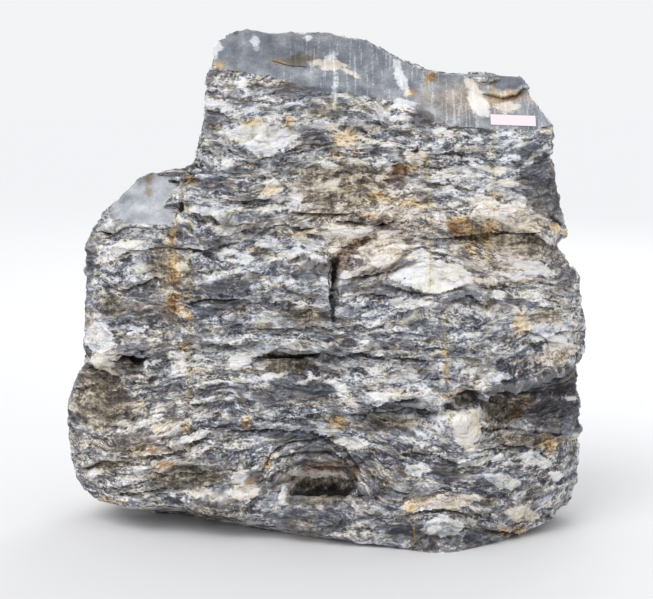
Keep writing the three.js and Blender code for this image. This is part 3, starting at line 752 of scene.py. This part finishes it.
# %% Chips
def chips(long, tall, seed, tilt=0.8):
    """Flat tilted facets: how far each stands out, about -1 to 1."""
    at = np.stack([x / long + seed, y / long, bed / tall], axis=1)
    cell = np.floor(at).astype(np.int64)
    nearest = np.full(len(at), np.inf)
    stands = np.zeros(len(at))
    for corner in np.ndindex(3, 3, 3):
        near = cell + np.array(corner) - 1
        jitter = np.stack([lattice(near + shift) for shift in (11, 29, 53)], axis=1)
        off = at - near - 0.5 - 0.45 * jitter
        gap = np.einsum("ij,ij->i", off, off)
        plane = lattice(near + 71) + tilt * (lattice(near + 83) * off[:, 0] + lattice(near + 97) * off[:, 2])
        stands = np.where(gap < nearest, plane, stands)
        nearest = np.minimum(nearest, gap)
    return stands


# %% Add up the relief
SLABS = ((4.2, 0.036, 0.13, 1), (2.6, 0.017, 0.06, 2), (1.0, 0.009, 0.04, 4))  # mm, tall, long, seed
REAR_SLABS = ((7, 0.075, 0.24, 5), (3, 0.028, 0.12, 6))
broken = 1 - facet
layers = sum(most * slabs(tall, long, seed) for most, tall, long, seed in SLABS)
layers += rear_part * sum(most * slabs(tall, long, seed) for most, tall, long, seed in REAR_SLABS)
flakes = 3.4 * chips(0.062, 0.030, 1) + 1.8 * chips(0.027, 0.015, 2)
flakes += rear_part * 4 * chips(0.13, 0.07, 3)
grain = 1.6 * rough_noise(x / 0.05, y / 0.05, z / 0.03, 4, 0.6)
grain += 0.8 * noise(x / 0.011, y / 0.011, z / 0.009)
knobs = 2.5 * ease(-0.004, 0.006, fields["white"]) + 1.5 * ease(-0.004, 0.006, fields["cream"])
knobs -= 2.0 * ease(-0.004, 0.008, fields["olive"]) + 1.0 * ease(-0.002, 0.004, fields["ochre"])
knobs -= 12.0 * ease(-0.003, 0.005, fields["dark"]) + 34.0 * ease(0.006, 0.012, fields["dark"])
total = relief + broken * (layers + flakes + grain + knobs) * MILLIMETRE
total += facet * 0.35 * rough_noise(x / 0.05, y / 0.05, z / 0.12, 3) * MILLIMETRE
print("relief, mm:", (total.min() / MILLIMETRE).round(1), "to", (total.max() / MILLIMETRE).round(1))

# %% [markdown]
# The surface may not leave the box of the plain solid, because the stone's size is settled there.
# It also stays flat where it rests on the ground, and sinks nowhere through the label.

# %% Move the surface
FLOOR_BAND = 0.02  # relief grows from none at the floor over this height
LABEL_ROOM = 0.03
INWARD = 1.5 * MILLIMETRE

keep_floor = ease(0.001, FLOOR_BAND, place[:, 2]) * ease(-0.97, -0.8, outward[:, 2])
label_middle = (label_low + label_high) / 2
label_half = (label_high - label_low) / 2
beside_label = np.max(np.abs(place - label_middle)[:, [0, 2]] - label_half[[0, 2]], axis=1)
clear_of_label = ease(0.004, LABEL_ROOM, beside_label)
total = (total - INWARD * broken) * keep_floor
total = np.where(total > 0, total * clear_of_label, total)
moved = place + outward * total[:, None]
moved[:, 2] -= droop * keep_floor
moved = np.clip(moved, stone_low, stone_high)
surface.vertices.foreach_set("co", moved.astype(np.float32).ravel())
surface.update()

# %% [markdown]
# Recesses gather dirt and little light. Comparing each vertex with the mean of its surroundings
# tells hollows from crests, and the material uses it to paint dirt and shade into the hollows and
# brighten the worn crests.

# %% Hollows and crests
SMALL_BLUR, BROAD_BLUR = 14, 40  # rounds of blurring
smooth_place = neighbour_mean(moved, edges, SMALL_BLUR)
fields["hollow"] = np.einsum("ij,ij->i", smooth_place - moved, outward)
broad_place = neighbour_mean(smooth_place, edges, BROAD_BLUR)
fields["deep"] = np.einsum("ij,ij->i", broad_place - moved, outward)
fields["shade"] = shade
fields["facet"] = facet
fields["top_facet"] = top_facet
fields["bed"] = bed
for name, values in fields.items():
    layer = surface.attributes.new(name, "FLOAT", "POINT")
    layer.data.foreach_set("value", values.astype(np.float32))
print("hollow, mm:", (np.percentile(fields["hollow"], [5, 95]) / MILLIMETRE).round(2))

# %% [markdown]
# Two Decimate modifiers thin the triangles out where the form can spare them, each in a vertex
# group: first the ends and the rear, then the broken front. The smooth facets keep every triangle,
# because the marks on them need the vertices even though the flat form doesn't.

# %% Fewer triangles
REAR_TRIANGLES = 52_000
FRONT_TRIANGLES = 112_000  # of the broken front; the smooth facets keep all of theirs
SHARP = math.radians(42)  # a steeper edge between two faces stays crisp


def decimate(name, part, most, in_all):
    """Adds a Decimate modifier for one part of the surface, and returns what it leaves in all."""
    group = marble.vertex_groups.new(name=name)
    group.add(np.nonzero(part)[0].tolist(), 1.0, "REPLACE")
    fewer = marble.modifiers.new(name, "DECIMATE")
    fewer.vertex_group = name
    change = min(0, most - 2 * len(surface.polygons) * part.mean())
    fewer.ratio = 1 + change / in_all
    return in_all + change


left = decimate("rear", front < 0.5, REAR_TRIANGLES, 2 * len(surface.polygons))
decimate("broken front", (front >= 0.5) & (facet < 0.5), FRONT_TRIANGLES, left)
surface = applied(marble)
inside_box = np.clip(vertex_array(surface, "place"), stone_low, stone_high)
surface.vertices.foreach_set("co", inside_box.astype(np.float32).ravel())
surface.polygons.foreach_set("use_smooth", np.ones(len(surface.polygons), bool))
surface.set_sharp_from_angle(angle=SHARP)
print("triangles:", sum(len(p.vertices) - 2 for p in surface.polygons))

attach(marble, "root")
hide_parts("stone")

# %% [markdown]
# ## Materials as expressions
#
# A material in Blender is a tree of nodes. Writing each link by hand hides the idea, so this small
# class wraps an output socket and lets Python's own operators add the Math nodes. `1 - mask`
# is then one Math node, and a long formula reads as a formula.


# %% A wire and a finish
class Wire:
    """One output socket of a finish. Arithmetic on it adds Math nodes."""

    def __init__(self, finish, socket):
        self.finish = finish
        self.socket = socket

    def math(self, operation, *values):
        return self.finish.node("ShaderNodeMath", {"operation": operation}, dict(enumerate(values)))

    def __add__(self, other):
        return self.math("ADD", self, other)

    def __sub__(self, other):
        return self.math("SUBTRACT", self, other)

    def __rsub__(self, other):
        return self.math("SUBTRACT", other, self)

    def __mul__(self, other):
        return self.math("MULTIPLY", self, other)

    __radd__ = __add__

    def __abs__(self):
        return self.math("ABSOLUTE", self)

    def most(self, other):
        return self.math("MAXIMUM", self, other)

    def least(self, other):
        return self.math("MINIMUM", self, other)

    def step(self, low, high):
        """A smooth step from 0 at low to 1 at high. low may be the larger."""
        settings = {"interpolation_type": "SMOOTHSTEP"}
        sockets = {"Value": self, "From Min": low, "From Max": high}
        return self.finish.node("ShaderNodeMapRange", settings, sockets)


class Finish:
    """A material whose nodes are added by Python expressions."""

    def __init__(self, name):
        self.material = bpy.data.materials.new(name)
        self.material.use_nodes = True
        self.tree = self.material.node_tree
        self.shader = self.tree.nodes["Principled BSDF"]

    def node(self, kind, settings, sockets, out=0):
        """Adds a node, sets its settings, then its sockets, and returns one of its outputs."""
        added = self.tree.nodes.new(kind)
        for name, value in settings.items():
            if name == "stops":
                self.set_stops(added.color_ramp, value)
            else:
                setattr(added, name, value)
        for name, value in sockets.items():
            self.join(added.inputs[name], value)
        return Wire(self, added.outputs[out])

    def set_stops(self, ramp, stops):
        while len(ramp.elements) < len(stops):
            ramp.elements.new(1)
        for element, (position, colour) in zip(ramp.elements, stops):
            element.position = position
            element.color = (*colour, 1)

    def join(self, socket, value):
        if isinstance(value, Wire):
            self.tree.links.new(value.socket, socket)
        else:
            socket.default_value = (*value, 1) if socket.type == "RGBA" else value

    def field(self, name):
        return self.node("ShaderNodeAttribute", {"attribute_name": name}, {}, "Fac")

    def noise(self, at, detail=2, rough=0.5, bend=0):
        sockets = {"Vector": at, "Scale": 1, "Detail": detail, "Roughness": rough, "Distortion": bend}
        return self.node("ShaderNodeTexNoise", {}, sockets, "Fac")

    def mix(self, share, first, second, way="MIX"):
        settings = {"data_type": "RGBA", "blend_type": way}
        return self.node("ShaderNodeMix", settings, {0: share, 6: first, 7: second}, 2)

    def ramp(self, value, stops):
        return self.node("ShaderNodeValToRGB", {"stops": stops}, {"Fac": value})


def paint(red, green, blue):
    """A colour as a screen shows it, from 0 to 255, in the linear values that Blender uses."""
    return tuple(((part / 255 + 0.055) / 1.055) ** 2.4 if part > 10 else part / 255 / 12.92
                 for part in (red, green, blue))


# %% [markdown]
# ### Marble
#
# The pattern lives in a space where height is the height in the bedding. Large features are much
# longer than they are tall and small ones hardly are, as in the stone: the beds are flat, but the
# grains in them are round. Two warps, a broad one and a fine one, turn stripes into curls.

# %% Bedding space
marble_finish = Finish("banded marble")
spot = marble_finish.node("ShaderNodeTexCoord", {}, {}, "Object")
spot_parts = marble_finish.node("ShaderNodeSeparateXYZ", {}, {"Vector": spot})
across = Wire(marble_finish, spot_parts.socket.node.outputs["X"])
deep_in = Wire(marble_finish, spot_parts.socket.node.outputs["Y"])
upright = Wire(marble_finish, spot_parts.socket.node.outputs["Z"])
field = marble_finish.field
mix = marble_finish.mix
bed_height = field("bed")


def in_bedding(height, long, tall, seed=0.0):
    """A place in the bedding space, in units of a lens's length and height."""
    sockets = {0: across * (1 / long) + seed, 1: deep_in * (1 / long), 2: height * (1 / tall)}
    return marble_finish.node("ShaderNodeCombineXYZ", {}, sockets)


def layer(height, long, tall, seed, detail=1.0, bend=0.0):
    """Noise around 0 whose features are long by tall metres."""
    return marble_finish.noise(in_bedding(height, long, tall, seed), detail, 0.5, bend) - 0.5


bent = bed_height + layer(bed_height, 0.08, 0.035, 1, 2) * 0.030
bent = bent + layer(bent, 0.026, 0.012, 3, 2) * 0.011
print("marble nodes so far:", len(marble_finish.tree.nodes))

# %% [markdown]
# The tone of the rock is a sum of noises, each half the size of the one before and about as
# strong. That even mix is what a photograph of rock has. The placed marks don't paint over it:
# they push the tone up or down and calm it, so that the noise still draws their edges. A broad
# noise makes some areas busy and leaves others calm, and two patch noises cut pale and dark pieces
# with crisp edges. The smooth facets are old joint faces: a calm blue-grey, with fine pale lines
# down their right half.

# %% Tone of the rock
TONE_PER_STEP = 1 / 410  # a tone of 0.1 is about 41 of a screen's steps
bands = layer(bent, 0.150, 0.036, 2, 1)
lenses = layer(bent, 0.062, 0.019, 4, 1, 0.5)
flecks = layer(bent, 0.029, 0.012, 6, 1, 0.8)
crumbs = layer(bent, 0.0115, 0.0074, 8, 1)
grains = layer(upright, 0.006, 0.005, 10, 1)
hairs = layer(bent, 0.050, 0.0034, 12, 1)
flakes_at = in_bedding(bent, 0.040, 0.015, 30)
flake = marble_finish.node("ShaderNodeTexVoronoi", {}, {"Vector": flakes_at, "Scale": 1}, "Color") - 0.5

ragged = lenses * 0.008 + flecks * 0.009 + crumbs * 0.007 + grains * 0.004
white = (field("white") + ragged).step(-0.0035, 0.0040)
cream = (field("cream") + ragged).step(-0.003, 0.004)
slate = (field("slate") + ragged).step(-0.004, 0.006)
olive = (field("olive") + ragged * 2).step(-0.008, 0.010)
ochre = (field("ochre") + ragged * 1.6).step(-0.009, 0.010)
rust = (field("rust") + ragged * 1.5).step(-0.003, 0.003)
facet_mask = (field("facet") + crumbs * 0.5).step(0.4, 0.6)

busy = 0.36 + layer(bed_height, 0.10, 0.045, 40, 2).step(-0.07, 0.08) * 0.82
pattern = bands * 0.30 + lenses * 0.42 + flake * 0.13
pattern = pattern + (flecks * 0.44 + crumbs * 0.40 + grains * 0.38 + hairs * 0.05) * busy
patch = layer(bent, 0.052, 0.017, 42, 1, 0.5)
pattern = pattern + patch.step(0.085, 0.115) * 0.085 - patch.step(-0.09, -0.12) * 0.065
small_patch = layer(bent, 0.022, 0.0095, 48, 1, 0.6)
pattern = pattern + small_patch.step(0.095, 0.125) * 0.080 - small_patch.step(-0.10, -0.13) * 0.070
smooth_pattern = layer(upright, 0.045, 0.045, 32, 3) * 0.26 + grains * 0.08
calm = 1 - white * 0.38 - cream * 0.28 - slate * 0.60 - olive * 0.20
tone = 0.49 + pattern * calm * (1 - facet_mask) + smooth_pattern * facet_mask
# The zones' lightness: partly the rock's own tone, partly painted shade.
tone = tone + field("lighter") * TONE_PER_STEP
tone = tone + (white * 0.20).most(cream * 0.13) * (1 - facet_mask * 0.25)
tone = tone - slate * 0.10 - olive * 0.03 + ochre * 0.04

down = marble_finish.node("ShaderNodeCombineXYZ", {}, {
    0: across * (1 / 0.009), 1: deep_in * (1 / 0.13), 2: upright * (1 / 0.13)})
lines = marble_finish.noise(down, 2, 0.6) - 0.5
towards_right = (across + lenses * 0.2).step(-0.22, 0.02)
tone = tone + facet_mask * (1 - slate) * towards_right * (lines + grains * 0.2).step(0.02, 0.20) * 0.08
tone = tone + olive * (1 - facet_mask) * lines * 0.22
laminae = layer(bent, 0.09, 0.0055, 44, 1)
tone = tone + laminae * slate.most(olive * 0.7) * (1 - facet_mask) * 0.30
print("nodes with the tone:", len(marble_finish.tree.nodes))

# %% [markdown]
# Thin dark seams and thin white veins run along the beds. Each is where a noise crosses its
# middle value: that is a line, wherever the noise is smooth.

# %% Seams and veins
where = layer(bed_height, 0.12, 0.05, 14, 1)
seam = 1 - abs(layer(bent, 0.085, 0.015, 16, 2)).step(0.003, 0.013)
vein = 1 - abs(layer(bent, 0.070, 0.012, 18, 2)).step(0.003, 0.012)
solid = 1 - white.most(cream).most(facet_mask)
tone = tone - seam * solid * where.step(-0.08, 0.06) * 0.13
tone = tone + vein * (1 - facet_mask) * where.step(0.08, -0.06) * 0.13
print("nodes with seams and veins:", len(marble_finish.tree.nodes))

# %% [markdown]
# Every kind of rock in the stone has dark and pale parts, so each gets its own ramp from the same
# tone: plain grey, cream, olive and ochre. Mixing between ramps stains the rock without hiding
# its pattern, which is what iron does.


# %% Ramps
TONES = (0.26, 0.38, 0.46, 0.51, 0.565, 0.635, 0.72)


def palette(*shades):
    """A ramp of the tone through seven shades, darkest first."""
    return marble_finish.ramp(tone, [(at, paint(*shade)) for at, shade in zip(TONES, shades)])


grey = palette((42, 43, 51), (78, 81, 91), (112, 116, 125), (140, 144, 151),
               (171, 175, 181), (205, 208, 212), (233, 234, 235))
creamy = palette((58, 51, 46), (112, 102, 94), (150, 139, 127), (183, 171, 158),
                 (208, 198, 186), (229, 220, 210), (243, 239, 233))
drab = palette((34, 30, 25), (70, 62, 51), (101, 91, 76), (131, 119, 100),
               (158, 146, 127), (190, 179, 161), (219, 211, 197))
rusty = palette((54, 36, 18), (98, 70, 38), (138, 105, 60), (172, 137, 84),
                (201, 168, 114), (226, 199, 152), (243, 225, 195))
print("shades of each ramp:", len(TONES))

# %% [markdown]
# Iron has warmed far more of the stone than the placed marks show. A broad noise lets a little of
# the cream and olive ramps in everywhere, and a finer one scatters small ochre specks.

# %% Stains
OCHRE_SEAM = paint(184, 152, 96)
RUST_DARK = paint(60, 36, 22)
RUST_PALE = paint(142, 96, 56)
WARMEST = 1 / 34  # the cream ramp is about 34 steps warmer than the grey one
warm = layer(bent, 0.11, 0.03, 20, 3) + flecks * 0.5
unstained = 1 - facet_mask * 0.9
warmth = warm.step(-0.10, 0.16) * 0.55 * unstained + field("warmer") * WARMEST
rock = mix(warmth, grey, creamy)
rock = mix(layer(bent, 0.09, 0.022, 22, 3).step(0.06, 0.20) * 0.6 * unstained, rock, drab)
rock = mix(cream * 0.9, rock, creamy)
rock = mix(olive * 0.85, rock, drab)
specks = (layer(bent, 0.035, 0.012, 24, 2) + where * 0.4).step(0.17, 0.24)
rock = mix(specks * 0.45 * unstained, rock, rusty)
rock = mix(ochre * 0.85, rock, rusty)
rusted = mix(tone.step(0.32, 0.66), RUST_DARK, RUST_PALE)
rock = mix(rust * 0.68, rock, rusted)
print("nodes with stains:", len(marble_finish.tree.nodes))


# %% [markdown]
# Joints show as thin ochre lines that come and go, with a yellowed margin, and open cracks as
# nearly black ones. Here and there the whole rock is a little yellow or a little lilac.


# %% Lines and tints
YELLOWED = paint(240, 234, 206)
LILAC = paint(240, 236, 247)


def drawn(names, narrow, wide, wander):
    """1 on the lines of these fields."""
    nearest = None
    for name in names:
        off = abs(field(name) + wander)
        nearest = off if nearest is None else nearest.least(off)
    return 1 - nearest.step(narrow, wide)


wander = layer(upright, 0.020, 0.020, 26, 2) * 0.006
comes_and_goes = layer(upright, 0.04, 0.03, 28, 2).step(-0.12, 0.10)
joint = drawn(joint_fields, 0.0004, 0.0032, wander) * comes_and_goes
crack = drawn(crack_fields, 0.0008, 0.0030, wander * 0.6)
rock = mix(joint * 0.5, rock, OCHRE_SEAM)
halo = drawn(joint_fields, 0.002, 0.020, wander * 2) * comes_and_goes
rock = mix(halo * 0.6, rock, YELLOWED, "MULTIPLY")
tinted = layer(bent, 0.045, 0.020, 36, 3)
rock = mix(tinted.step(0.03, 0.14) * 0.6 * unstained, rock, YELLOWED, "MULTIPLY")
rock = mix(tinted.step(-0.03, -0.14) * 0.6 * unstained, rock, LILAC, "MULTIPLY")
print("nodes with lines and tints:", len(marble_finish.tree.nodes))

# %% [markdown]
# Last come dirt and painted shade: the hollows darken with dirt and painted shade, the rock under
# each ledge's lip gets a painted shadow, worn crests lighten a little, and open cracks and holes
# are painted nearly black as shade. The grain of the rock goes into a Bump node, finer than the
# mesh can carry.

# %% Dirt, painted shade, cracks, gloss and grain
# Brown-grey for the dirt and painted shade in the hollows.
DIRT_AND_SHADE = paint(120, 110, 100)
# Grey for the painted shadow under the ledge lips.
LEDGE_SHADOW = paint(88, 84, 82)
# Near black for the painted shade in open cracks and holes.
CRACK_AND_HOLE_SHADE = paint(11, 9, 8)
WORN = paint(226, 227, 228)
hollow = field("hollow").step(0.0006, 0.004)
deep = field("deep").step(0.004, 0.03)
crest = (0 - field("hollow")).step(0.0006, 0.003)
# Dirt and painted shade: hollows and broad recesses are darkened.
colour = mix(hollow * 0.45 + deep * 0.3, rock, DIRT_AND_SHADE, "MULTIPLY")
# Painted shadow: the rock just under each ledge's lip is darkened.
colour = mix(field("shade") * 0.6, colour, LEDGE_SHADOW, "MULTIPLY")
colour = mix(crest * 0.12, colour, WORN)
# Painted shade: open cracks and the dark holes and slits are painted nearly black.
hole = (field("dark") + ragged).step(-0.002, 0.004)
colour = mix((crack * 0.85).most(hole * 0.97), colour, CRACK_AND_HOLE_SHADE)
marble_finish.join(marble_finish.shader.inputs["Base Color"], colour)
marble_finish.join(marble_finish.shader.inputs["Roughness"], 0.75 - tone.step(0.6, 0.75) * 0.2)
height = flecks * 0.9 + crumbs * 0.8 + grains * 0.4 + hairs * 0.1 + lenses * 0.6 - seam * 0.12 + flake * 0.35
height = height * (1 - facet_mask * 0.95) + lines * facet_mask * 0.10
bump = marble_finish.node("ShaderNodeBump", {}, {"Height": height, "Strength": 0.9, "Distance": 0.006})
marble_finish.join(marble_finish.shader.inputs["Normal"], bump)
surface.materials.clear()
surface.materials.append(marble_finish.material)
print("marble nodes:", len(marble_finish.tree.nodes))

# %% [markdown]
# ## The label
#
# A strip of thin pale pink paper lies on the facet. The label's own solid already has the right
# shape, so it stays and only gets a better material, whose fibres vary its tone a little.

# %% Paper label
paper_finish = Finish("pink label paper")
paper_spot = paper_finish.node("ShaderNodeTexCoord", {}, {}, "Object")
PAPER_PINK = paint(236, 223, 228)
PAPER_WORN = paint(226, 213, 219)
fibres = paper_finish.node("ShaderNodeVectorMath", {"operation": "SCALE"}, {0: paper_spot, "Scale": 260.0})
wear = paper_finish.noise(fibres, 3, 0.6)
paper_finish.join(paper_finish.shader.inputs["Base Color"], paper_finish.mix(wear, PAPER_PINK, PAPER_WORN))
paper_finish.join(paper_finish.shader.inputs["Roughness"], 0.8)
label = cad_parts["label"]
label.data.materials.clear()
label.data.materials.append(paper_finish.material)
print("label nodes:", len(paper_finish.tree.nodes))

# %% [markdown]
# ## Floor and light
#
# The stage is plain: a wide pale floor, a soft bright sky and a soft sun from above on the left,
# where the photograph's light comes from. The floor's grey is chosen so that the lit floor is as
# bright as the sky, which hides the line where they meet.

# %% Floor
FLOOR_SIZE = 30
floor_mesh = bpy.data.meshes.new("floor")
half = FLOOR_SIZE / 2
corners = [(-half, -half, 0), (half, -half, 0), (half, half, 0), (-half, half, 0)]
floor_mesh.from_pydata(corners, [], [(0, 1, 2, 3)])
floor = bpy.data.objects.new("floor", floor_mesh)
bpy.context.scene.collection.objects.link(floor)
floor_finish = Finish("pale floor")
floor_finish.join(floor_finish.shader.inputs["Base Color"], paint(222, 222, 223))
floor_finish.join(floor_finish.shader.inputs["Roughness"], 0.9)
floor_mesh.materials.append(floor_finish.material)
print("floor, metres:", FLOOR_SIZE)


# %% Light
SUN_FROM = Vector((-2.2, -3.0, 5.2))
REAR_FROM = Vector((1.5, 4.5, 4.0))


def light(kind, name, place):
    """A lamp that faces the middle of the stone."""
    lamp = bpy.data.lights.new(name, kind)
    lit = bpy.data.objects.new(name, lamp)
    lit.location = place
    lit.rotation_euler = (Vector((0, 0, stone_high[2] / 2)) - place).to_track_quat("-Z", "Y").to_euler()
    bpy.context.scene.collection.objects.link(lit)
    return lamp


sun = light("SUN", "soft sun", SUN_FROM)
sun.energy = 1.3
sun.angle = math.radians(35)
rear_light = light("AREA", "rear light", REAR_FROM)
rear_light.size = 3.0
rear_light.energy = 70
print("lamps:", sun.name, "and", rear_light.name)

# %% Sky
world = bpy.data.worlds.new("soft sky")
world.use_nodes = True
world.node_tree.nodes["Background"].inputs["Color"].default_value = (0.97, 0.98, 1.0, 1)
world.node_tree.nodes["Background"].inputs["Strength"].default_value = 0.92
bpy.context.scene.world = world
bpy.context.scene.view_settings.view_transform = "Standard"
print("sky:", world.name)
